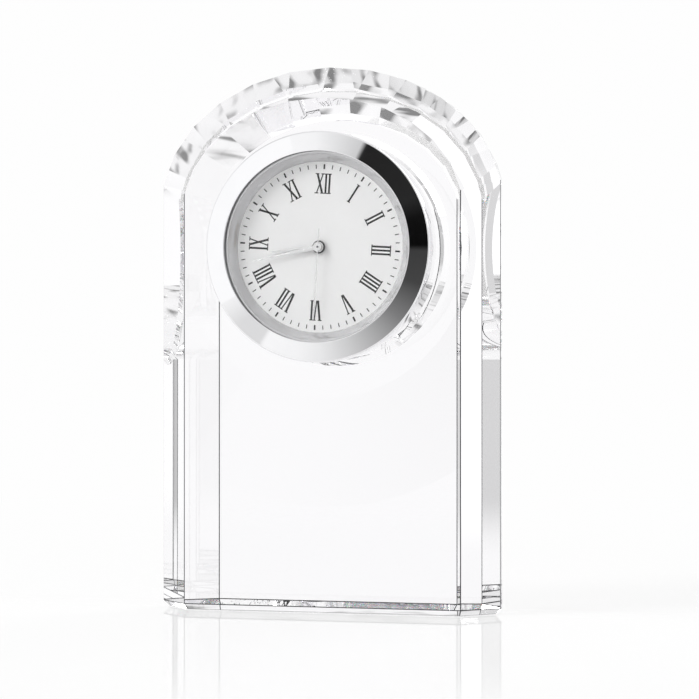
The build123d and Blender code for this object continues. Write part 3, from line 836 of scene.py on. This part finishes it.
@dataclass
class Bezel:
    """Polished bezel, flat glass and the silvered ring behind it."""

    outer: float = 25.394
    edge_round: float = 0.5
    seat_gap: float = 0.03
    wall: float = 2.8
    lip_radius: float = 20.994
    lip_top: float = 4.2
    lip_round: float = 0.12
    glass_front: float = 3.75
    glass_back: float = 2.85
    glass_radius: float = 21.894
    glass_arris: float = 0.08
    glass_arris_angle: float = 40.0
    seat_radius: float = 21.944
    dial_face: float = 0.45
    skirt_inner: float = 22.544
    skirt_outer: float = 23.894
    skirt_back: float = -3.5
    groove: float = 0.25
    ring_front: float = 20.394
    ring_back: float = 18.794
    ring_arris: float = 0.1
    round_steps: int = 8
    segments: int = 288
    smooth_angle: float = 20.0

    def outline(self) -> Profile:
        """Half section of the bezel.

        Returns:
            Radius and height of each corner.
        """
        edge_radius = self.outer - self.edge_round
        turns = [step * math.pi / 2 / self.round_steps for step in range(self.round_steps + 1)]
        arc = [
            (edge_radius + self.edge_round * math.cos(turn), self.wall + self.edge_round * math.sin(turn))
            for turn in turns
        ]
        slope = (self.lip_top - self.wall - self.edge_round) / (edge_radius - self.lip_radius)
        middle = self.skirt_back / 2
        return [
            (self.skirt_outer, self.seat_gap),
            (self.outer, self.seat_gap),
            *arc,
            (self.lip_radius + self.lip_round, self.lip_top - self.lip_round * slope),
            (self.lip_radius, self.lip_top - self.lip_round),
            (self.lip_radius, self.glass_front),
            (self.seat_radius, self.glass_front),
            (self.seat_radius, self.dial_face),
            (self.skirt_inner, self.dial_face),
            (self.skirt_inner, middle + 2 * self.groove),
            (self.skirt_inner + self.groove, middle + self.groove),
            (self.skirt_inner + self.groove, middle - self.groove),
            (self.skirt_inner, middle - 2 * self.groove),
            (self.skirt_inner, self.skirt_back),
            (self.skirt_outer, self.skirt_back),
        ]

    def ring_outline(self) -> Profile:
        """Half section of the silvered ring.

        Returns:
            Radius and height of each corner.
        """
        return [
            (self.glass_radius, self.dial_face),
            (self.glass_radius, self.glass_back),
            (self.ring_front + self.ring_arris, self.glass_back),
            (self.ring_front, self.glass_back - self.ring_arris),
            (self.ring_back, self.dial_face),
        ]

    def glass(self) -> Mesh:
        """Model the flat glass.

        Returns:
            The disc, with its edge just broken.
        """
        mesh = bmesh.new()
        bmesh.ops.create_circle(
            mesh,
            cap_ends=True,
            segments=self.segments,
            radius=self.glass_radius * MM,
            matrix=DialFrame.placed(0, self.glass_front),
        )
        bmesh.ops.solidify(mesh, geom=mesh.faces[:], thickness=(self.glass_front - self.glass_back) * MM)
        nearest = min(vertex.co.y for vertex in mesh.verts)
        shift = DialFrame.FRONT - self.glass_front * MM - nearest
        bmesh.ops.translate(mesh, verts=mesh.verts[:], vec=(0, shift, 0))
        bmesh.ops.recalc_face_normals(mesh, faces=mesh.faces[:])
        soften(mesh, self.glass_arris_angle, self.glass_arris)
        return mesh

    def build(self) -> None:
        """Make the bezel, the ring and the glass in place of their nodes."""
        bezel = turned(self.outline(), self.segments)
        ring = turned(self.ring_outline(), self.segments)
        glass = self.glass()
        pieces = (
            ("polished_bezel", bezel, BRIGHT_CHROME, "bright_metal", "bezel"),
            ("silvered_flange_ring", ring, SILVERED_RING, "bright_metal", "rehaut_ring"),
            ("flat_dial_glass", glass, WATCH_GLASS, "mineral_glass", "lens"),
        )
        for name, mesh, finish, slot, node in pieces:
            mark_sharp(mesh, self.smooth_angle)
            piece = finished(name, mesh, finish, Body.INSERT)
            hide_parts(node)


class Letter(str, Enum):
    """Letters of the hour numerals."""

    ONE = "I"
    FIVE = "V"
    TEN = "X"


@dataclass
class DialPrint:
    """Printed hour numerals and minute strokes."""

    face: float = 0.45
    film: float = 0.012
    numeral_foot: float = 11.75
    numeral_head: float = 16.2
    stem: float = 0.42
    thick: float = 0.47
    thin: float = 0.27
    serif: float = 0.22
    serif_reach: float = 0.2
    one_pitch: float = 0.8
    five_width: float = 1.75
    ten_width: float = 1.8
    five_pitch: float = 1.85
    ten_pitch: float = 1.95
    stroke_foot: float = 17.25
    stroke_head: float = 18.15
    minute_width: float = 0.21
    hour_width: float = 0.38
    hour_extra: float = 0.1
    minutes: int = 60
    numerals: tuple[str, ...] = ("XII", "I", "II", "III", "IIII", "V", "VI", "VII", "VIII", "IX", "X", "XI")

    def bar(self, mesh: Mesh, place: Matrix, ends: Span, rise: Span, width: float) -> None:
        """Add one printed stroke, upright or slanting, with level ends.

        Args:
            mesh: Mesh of the print.
            place: Frame of the numeral, with its origin on the dial's axis.
            ends: Sideways places of the inner and outer end.
            rise: Radii of the inner and outer end.
            width: Width measured across.
        """
        foot, head = ends
        low, high = rise
        lean = Matrix(
            (
                (width, head - foot, 0, (head + foot) / 2),
                (0, high - low, 0, (high + low) / 2),
                (0, 0, self.film, self.film / 2),
                (0, 0, 0, 1),
            )
        )
        scale = Matrix.Diagonal((MM, MM, MM, 1))
        bmesh.ops.create_cube(mesh, size=1.0, matrix=place @ scale @ lean)

    def serif_across(self, mesh: Mesh, place: Matrix, middle: float, width: float, radius: float) -> None:
        """Add one serif across a stroke's end.

        Args:
            mesh: Mesh of the print.
            place: Frame of the numeral.
            middle: Sideways place of its middle.
            width: Width of the stroke that it ends.
            radius: Its radius.
        """
        rise = (radius - self.serif / 2, radius + self.serif / 2)
        self.bar(mesh, place, (middle, middle), rise, width + 2 * self.serif_reach)

    def letter(self, mesh: Mesh, place: Matrix, kind: Letter, middle: float) -> None:
        """Add one letter.

        Args:
            mesh: Mesh of the print.
            place: Frame of the numeral.
            kind: Which letter.
            middle: Sideways place of its middle.
        """
        rise = (self.numeral_foot, self.numeral_head)
        foot = self.numeral_foot + self.serif / 2
        head = self.numeral_head - self.serif / 2
        if kind is Letter.ONE:
            self.bar(mesh, place, (middle, middle), rise, self.stem)
            self.serif_across(mesh, place, middle, self.stem, foot)
            self.serif_across(mesh, place, middle, self.stem, head)
        elif kind is Letter.FIVE:
            half = (self.five_width - self.thick) / 2
            self.bar(mesh, place, (middle, middle - half), rise, self.thick)
            self.bar(mesh, place, (middle + self.thin, middle + half), rise, self.thin)
            self.serif_across(mesh, place, middle - half, self.thick, head)
            self.serif_across(mesh, place, middle + half, self.thin, head)
        else:
            half = (self.ten_width - self.thick) / 2
            self.bar(mesh, place, (middle + half, middle - half), rise, self.thick)
            self.bar(mesh, place, (middle - half, middle + half), rise, self.thin)
            for side in (-half, half):
                self.serif_across(mesh, place, middle + side, self.thick, head)
                self.serif_across(mesh, place, middle + side, self.thick, foot)

    def pitch(self, kind: Letter) -> float:
        """Width that a letter takes up in its numeral."""
        return {Letter.ONE: self.one_pitch, Letter.FIVE: self.five_pitch, Letter.TEN: self.ten_pitch}[kind]

    def print_numerals(self, mesh: Mesh) -> None:
        """Add the hour numerals.

        Args:
            mesh: Mesh of the print.
        """
        for hour, numeral in enumerate(self.numerals):
            place = DialFrame.placed(hour * CIRCLE / len(self.numerals), self.face)
            letters = [Letter(character) for character in numeral]
            reach = -sum(self.pitch(kind) for kind in letters) / 2
            for kind in letters:
                self.letter(mesh, place, kind, reach + self.pitch(kind) / 2)
                reach += self.pitch(kind)

    def print_strokes(self, mesh: Mesh) -> None:
        """Add the minute strokes, bolder at the hours.

        Args:
            mesh: Mesh of the print.
        """
        for minute in range(self.minutes):
            place = DialFrame.placed(minute * CIRCLE / self.minutes, self.face)
            on_hour = minute % (self.minutes // len(self.numerals)) == 0
            extra = self.hour_extra if on_hour else 0.0
            width = self.hour_width if on_hour else self.minute_width
            self.bar(mesh, place, (0, 0), (self.stroke_foot - extra, self.stroke_head + extra), width)

    def build(self) -> None:
        """Print the dial."""
        mesh = bmesh.new()
        self.print_numerals(mesh)
        self.print_strokes(mesh)
        bmesh.ops.recalc_face_normals(mesh, faces=mesh.faces[:])
        finished("dial_numerals", mesh, DIAL_INK, Body.INSERT)


@dataclass
class RearCase:
    """Case cup with its seal, setting knob and battery hatch, seen from behind."""

    seal_inner: float = 22.544
    seal_sleeve: float = 23.344
    seal_lip: float = 24.834
    seal_top: float = -3.55
    seal_length: float = 4.8
    seal_lips: int = 2
    seal_segments: int = 160
    seal_smooth_angle: float = 50.0
    lip_land: float = 0.12
    cup_arris: float = 0.1
    knob_arris: float = 0.1
    hatch_arris: float = 0.08
    arris_angle: float = 40.0
    smooth_angle: float = 30.0

    def seal_outline(self) -> Profile:
        """Half section of the seal, with rounded lips.

        Returns:
            Radius and height of each corner.
        """
        bottom = self.seal_top - self.seal_length
        pitch = self.seal_length / self.seal_lips
        corners = [(self.seal_inner, self.seal_top), (self.seal_inner, bottom)]
        for lip in range(self.seal_lips):
            foot = bottom + lip * pitch
            corners.append((self.seal_sleeve, foot))
            corners.append((self.seal_lip - self.lip_land, foot + pitch / 2 - self.lip_land))
            corners.append((self.seal_lip, foot + pitch / 2))
            corners.append((self.seal_lip - self.lip_land, foot + pitch / 2 + self.lip_land))
        corners.append((self.seal_sleeve, self.seal_top))
        return corners

    def build(self) -> None:
        """Make the seal, cup, knob and hatch in place of their nodes."""
        seal = turned(self.seal_outline(), self.seal_segments)
        mark_sharp(seal, self.seal_smooth_angle)
        piece = finished("lipped_seal", seal, SEAL_RUBBER, Body.INSERT)
        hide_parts("gasket")
        copies = (
            ("moulded_case_cup", "case_cup", Body.INSERT, self.cup_arris),
            ("fluted_setting_knob", "set_knob", Body.SETTING, self.knob_arris),
            ("hatch_plug", "battery_hatch", Body.HATCH, self.hatch_arris),
        )
        for name, node, body, arris in copies:
            mesh = cad_copy(node)
            soften(mesh, self.arris_angle, arris)
            mark_sharp(mesh, self.smooth_angle)
            piece = finished(name, mesh, WHITE_CASE, body)
            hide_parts(node)


def dress_nodes() -> None:
    """Give every node that stays in view its finish."""
    for name, finish in CAD_FINISHES.items():
        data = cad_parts[name].data
        data.materials.clear()
        data.materials.append(finish.make())
        LOG.info("%s: %s", name, finish.name)


class Sight(Enum):
    """Ways in which a piece of the set is seen."""

    FULLY = "fully"
    REFLECTED = "only in reflections"
    THROUGH_GLASS = "only through glass"


def staged(name: str, mesh: Mesh, material: Material, sight: Sight) -> None:
    """Turn a bmesh into a piece of the set.

    Args:
        name: Name of the piece.
        mesh: Its finished geometry, in place.
        material: Its material.
        sight: How it is seen.
    """
    piece = linked(name, mesh, material)
    if sight is not Sight.FULLY:
        piece.visible_camera = False
        piece.visible_diffuse = False
        piece.visible_shadow = False
        piece.visible_glossy = sight is Sight.REFLECTED
        piece.visible_transmission = sight is Sight.THROUGH_GLASS
    LOG.info("%s: seen %s", name, sight.value)


@dataclass
class Viewpoint:
    """The camera, level, at the photograph's viewing angle, with its frame and focal length in pixels."""

    eye: Place = (0.1557, -0.5726, 0.058)
    heading: float = 14.86
    frame_width: float = 699.0
    focal_length: float = 2650.0
    clip: Span = (0.01, 100.0)

    def build(self) -> None:
        """Set the camera."""
        lens = bpy.data.cameras.new("camera")
        lens.sensor_fit = "HORIZONTAL"
        lens.angle = 2 * math.atan(self.frame_width / 2 / self.focal_length)
        lens.clip_start, lens.clip_end = self.clip
        camera = bpy.data.objects.new("camera", lens)
        camera.location = self.eye
        camera.rotation_euler = (math.pi / 2, 0, math.radians(self.heading))
        bpy.context.scene.collection.objects.link(camera)
        bpy.context.scene.camera = camera


@dataclass
class Floor:
    """White floor that shines softly before the clock and fades into the backdrop."""

    backdrop: float
    drop: float = 0.0002
    half_side: float = 40.0
    white: float = 0.96
    glow: float = 1.05
    glow_share: float = 0.75
    shine: float = 0.3
    shine_roughness: float = 0.05
    shine_reach: Span = (0.1, 0.2)
    shine_depth: Span = (-0.005, 0.012)
    sweep: Span = (0.12, 0.45)

    def near(self, sheet: NodeSheet, place: Feed, matte: Feed) -> Socket:
        """Shade the floor round the clock.

        Args:
            sheet: Sheet of the floor's material.
            place: Place on the floor.
            matte: Shader of the bare floor.

        Returns:
            The shader, lit evenly and with its shine only before the clock.
        """
        reach = sheet.work("VectorMath", "LENGTH", place).outputs["Value"]
        depth = sheet.add("SeparateXYZ", Vector=place).outputs["Y"]
        fading = sheet.span(reach, self.shine_reach, (self.shine, 0.0), smooth=True)
        ahead = sheet.span(depth, self.shine_depth, (1.0, 0.0))
        share = sheet.work("Math", "MULTIPLY", fading, ahead).outputs["Value"]
        lit = sheet.mix(self.glow_share, matte, sheet.glow(strength=self.glow))
        shine = sheet.add("BsdfGlossy", Color=WHITE, Roughness=self.shine_roughness).outputs["BSDF"]
        top = sheet.mix(share, lit, shine)
        through_glass = sheet.add("LightPath").outputs["Is Transmission Ray"]
        return sheet.mix(through_glass, top, sheet.glow())

    def material(self) -> Material:
        """Make the floor's material.

        Returns:
            A material that lamps and bounced light meet as plain matte white.
        """
        sheet = NodeSheet(bpy.data.materials.new("white_floor"))
        place = sheet.add("TexCoord").outputs["Object"]
        path = sheet.add("LightPath").outputs
        matte = sheet.add("BsdfDiffuse", Color=grey(self.white)).outputs["BSDF"]
        open_air = sheet.add("BsdfTransparent").outputs["BSDF"]
        far = sheet.mix(path["Is Camera Ray"], open_air, sheet.glow(grey(self.backdrop)))
        reach = sheet.work("VectorMath", "LENGTH", place).outputs["Value"]
        fade = sheet.span(reach, self.sweep, smooth=True)
        sweep = sheet.mix(fade, self.near(sheet, place, matte), far)
        seen = path["Is Camera Ray"]
        for ray in ("Is Glossy Ray", "Is Transmission Ray"):
            seen = sheet.work("Math", "MAXIMUM", seen, path[ray]).outputs["Value"]
        sheet.add("OutputMaterial", Surface=sheet.mix(seen, matte, sweep))
        return sheet.owner

    def build(self) -> None:
        """Lay the floor."""
        mesh = bmesh.new()
        place = Matrix.Translation((0, 0, -self.drop))
        bmesh.ops.create_grid(mesh, x_segments=1, y_segments=1, size=self.half_side, matrix=place)
        staged("floor", mesh, self.material(), Sight.FULLY)


@dataclass
class Surround:
    """White and grey panels all round, with plain white behind for the camera."""

    backdrop: float
    ambient: float = 0.6
    panels: Levels = (
        (-180, 1.1), (-100, 1.1), (-92, 0.74), (-62, 0.7), (-56, 0.9),
        (-48, 1.2), (-34, 1.2), (-28, 1.0), (10, 1.0), (40, 1.08),
        (98, 1.1), (103, 0.55), (124, 0.55), (132, 1.0), (180, 1.1),
    )
    heights: Levels = ((0.0, 1.0), (0.72, 1.0), (0.84, 0.75), (1.0, 0.9))

    def build(self) -> None:
        """Hang the panels in the world."""
        world = bpy.data.worlds.new("white_set")
        bpy.context.scene.world = world
        sheet = NodeSheet(world)
        direction = sheet.add("TexCoord").outputs["Generated"]
        round_about = sheet.bearing(direction, "X", "Y", self.panels)
        height = sheet.add("SeparateXYZ", Vector=direction).outputs["Z"]
        overhead = sheet.ramp(sheet.span(height, (-1.0, 1.0)), self.heights)
        path = sheet.add("LightPath").outputs
        strength = sheet.span(path["Is Diffuse Ray"], UNIT, (1.0, self.ambient))
        colour = sheet.blend(1.0, round_about, overhead, "MULTIPLY")
        lit = sheet.add("Background", Color=colour, Strength=strength).outputs["Background"]
        seen = sheet.add("Background", Color=grey(self.backdrop)).outputs["Background"]
        sheet.add("OutputWorld", Surface=sheet.mix(path["Is Camera Ray"], lit, seen))


@dataclass
class SoftLamp:
    """One soft lamp, aimed at the dial."""

    name: str
    place: Place
    power: float
    side: float

    def build(self) -> None:
        """Hang the lamp."""
        light = bpy.data.lights.new(self.name, "AREA")
        light.energy = self.power
        light.size = self.side
        lamp = bpy.data.objects.new(self.name, light)
        lamp.location = self.place
        aim = DialFrame.axis_point() - Vector(self.place)
        lamp.rotation_euler = aim.to_track_quat("-Z", "Y").to_euler()
        lamp.visible_glossy = False
        bpy.context.scene.collection.objects.link(lamp)


@dataclass
class ArchCard:
    """Streaked card laid level behind the block, for the arch's facets to break up."""

    height: float
    width: float = 0.12
    shades: Levels = ((0.0115, 1.0), (0.04, 0.92), (0.055, 0.72), (0.085, 0.66), (0.1, 0.9), (0.15, 1.0))
    streak: float = 0.0065
    streak_octaves: float = 1.0
    streak_drawn: tuple[float, float, float] = (0.4, 1, 1)
    streak_levels: Levels = ((0.34, 0.22), (0.43, 0.75), (0.49, 1.0), (0.7, 1.05))

    def depth(self) -> Span:
        """Where the card starts and ends behind the block."""
        return self.shades[0][0], self.shades[-1][0]

    def material(self) -> Material:
        """Make the card's material.

        Returns:
            A glow that is shaded along its depth and streaked from side to side.
        """
        sheet = NodeSheet(bpy.data.materials.new("patched_card"))
        place = sheet.add("TexCoord").outputs["Object"]
        depth = sheet.add("SeparateXYZ", Vector=place).outputs["Y"]
        front, back = self.depth()
        stops = [((at - front) / (back - front), level) for at, level in self.shades]
        shade = sheet.ramp(sheet.span(depth, (front, back)), stops)
        drawn = sheet.work("VectorMath", "MULTIPLY", place, self.streak_drawn).outputs["Vector"]
        noise = sheet.add("TexNoise", Vector=drawn, Scale=1 / self.streak, Detail=self.streak_octaves)
        streaks = sheet.ramp(noise.outputs["Fac"], self.streak_levels)
        sheet.add("OutputMaterial", Surface=sheet.glow(shade, streaks))
        return sheet.owner

    def build(self) -> None:
        """Lay the card."""
        mesh = bmesh.new()
        front, back = self.depth()
        place = Matrix.Translation((0, (front + back) / 2, self.height))
        size = Matrix.Diagonal((self.width, back - front, 1, 1))
        bmesh.ops.create_grid(mesh, x_segments=1, y_segments=1, size=0.5, matrix=place @ size)
        staged("patched_card", mesh, self.material(), Sight.THROUGH_GLASS)


@dataclass
class DialFlag:
    """Shaded ring hung before the dial, seen only in reflections on its own side."""

    name: str
    radii: Span
    sector: Span
    levels: Levels
    centre: Place = (-0.0128, -0.06, 0.0824)
    steps: int = 64
    merge: float = 1e-6

    def material(self) -> Material:
        """Make the flag's material.

        Returns:
            A glow that is shaded round the ring and clear from its other side.
        """
        sheet = NodeSheet(bpy.data.materials.new(self.name))
        place = sheet.add("TexCoord").outputs["Object"]
        from_centre = sheet.work("VectorMath", "SUBTRACT", place, self.centre).outputs["Vector"]
        glow = sheet.glow(sheet.bearing(from_centre, "X", "Z", self.levels))
        other_side = sheet.add("NewGeometry").outputs["Backfacing"]
        clear = sheet.add("BsdfTransparent").outputs["BSDF"]
        sheet.add("OutputMaterial", Surface=sheet.mix(other_side, glow, clear))
        return sheet.owner

    def build(self) -> None:
        """Hang the flag."""
        mesh = bmesh.new()
        centre = Vector(self.centre)
        start, end = (math.radians(angle) for angle in self.sector)
        outwards = Matrix.Rotation(start, 3, "Y") @ Vector((0, 0, 1))
        ends = [mesh.verts.new(centre + outwards * radius) for radius in self.radii]
        edge = mesh.edges.new(ends)
        bmesh.ops.spin(
            mesh,
            geom=[*ends, edge],
            cent=centre,
            axis=(0, 1, 0),
            angle=end - start,
            steps=self.steps,
            use_merge=math.isclose(end - start, math.tau),
        )
        bmesh.ops.remove_doubles(mesh, verts=mesh.verts[:], dist=self.merge)
        for face in mesh.faces:
            face.normal_update()
            if face.normal.y < 0:
                face.normal_flip()
        staged(self.name, mesh, self.material(), Sight.REFLECTED)


@dataclass
class Studio:
    """Plain white set: camera, floor, soft lights, card and flags."""

    backdrop: float = 0.99
    bounces: int = 32
    glossy_bounces: int = 16
    glass_bounces: int = 24
    key_place: Place = (-0.95, -0.8, 0.8)
    key_power: float = 6.9
    key_side: float = 0.5
    fill_place: Place = (0.5, 1.1, 0.7)
    fill_power: float = 5.0
    fill_side: float = 0.7
    flag_radii: Span = (0.036, 0.062)
    flag_sector: Span = (-16, 180)
    flag_levels: Levels = (
        (-16, 1.05), (-2, 1.02), (24.8, 0.67),
        (25.8, 0.017), (65, 0.023), (75, 0.006), (90.5, 0.003),
        (92.5, 0.05), (110, 0.065), (130, 0.23), (180, 0.93),
    )
    low_flag_sector: Span = (-180, -118)
    low_flag_levels: Levels = (
        (-180, 0.92), (-168, 1.02), (-148, 1.06),
        (-147, 0.8), (-132, 0.8), (-118, 1.02),
    )
    veil_radius: float = 0.0232
    veil: float = 0.12

    def flags(self) -> list[DialFlag]:
        """Give the flags that shape the bezel's reflections and keep the glass clear.

        Returns:
            Two flags for the bezel and one for the dial.
        """
        even = ((-180, self.veil), (180, self.veil))
        return [
            DialFlag("bezel_flag", self.flag_radii, self.flag_sector, self.flag_levels),
            DialFlag("low_bezel_flag", self.flag_radii, self.low_flag_sector, self.low_flag_levels),
            DialFlag("dial_flag", (0.0, self.veil_radius), (-180, 180), even),
        ]

    def build(self) -> None:
        """Set up the camera, the floor and the light."""
        scene = bpy.context.scene
        scene.view_settings.view_transform = "Standard"
        scene.cycles.max_bounces = self.bounces
        scene.cycles.glossy_bounces = self.glossy_bounces
        scene.cycles.transmission_bounces = self.glass_bounces
        viewpoint = Viewpoint()
        pieces = (
            viewpoint,
            Floor(self.backdrop),
            Surround(self.backdrop),
            SoftLamp("key_softbox", self.key_place, self.key_power, self.key_side),
            SoftLamp("fill_softbox", self.fill_place, self.fill_power, self.fill_side),
            ArchCard(viewpoint.eye[2]),
            *self.flags(),
        )
        for piece in pieces:
            piece.build()


def main() -> None:
    """Build every piece in order, then the set."""
    logging.basicConfig(level=logging.INFO, format="%(message)s")
    dress_nodes()
    for piece in (CrystalBlock(), Bezel(), DialPrint(), RearCase()):
        piece.build()
    Studio().build()


if __name__ == "__main__":
    main()
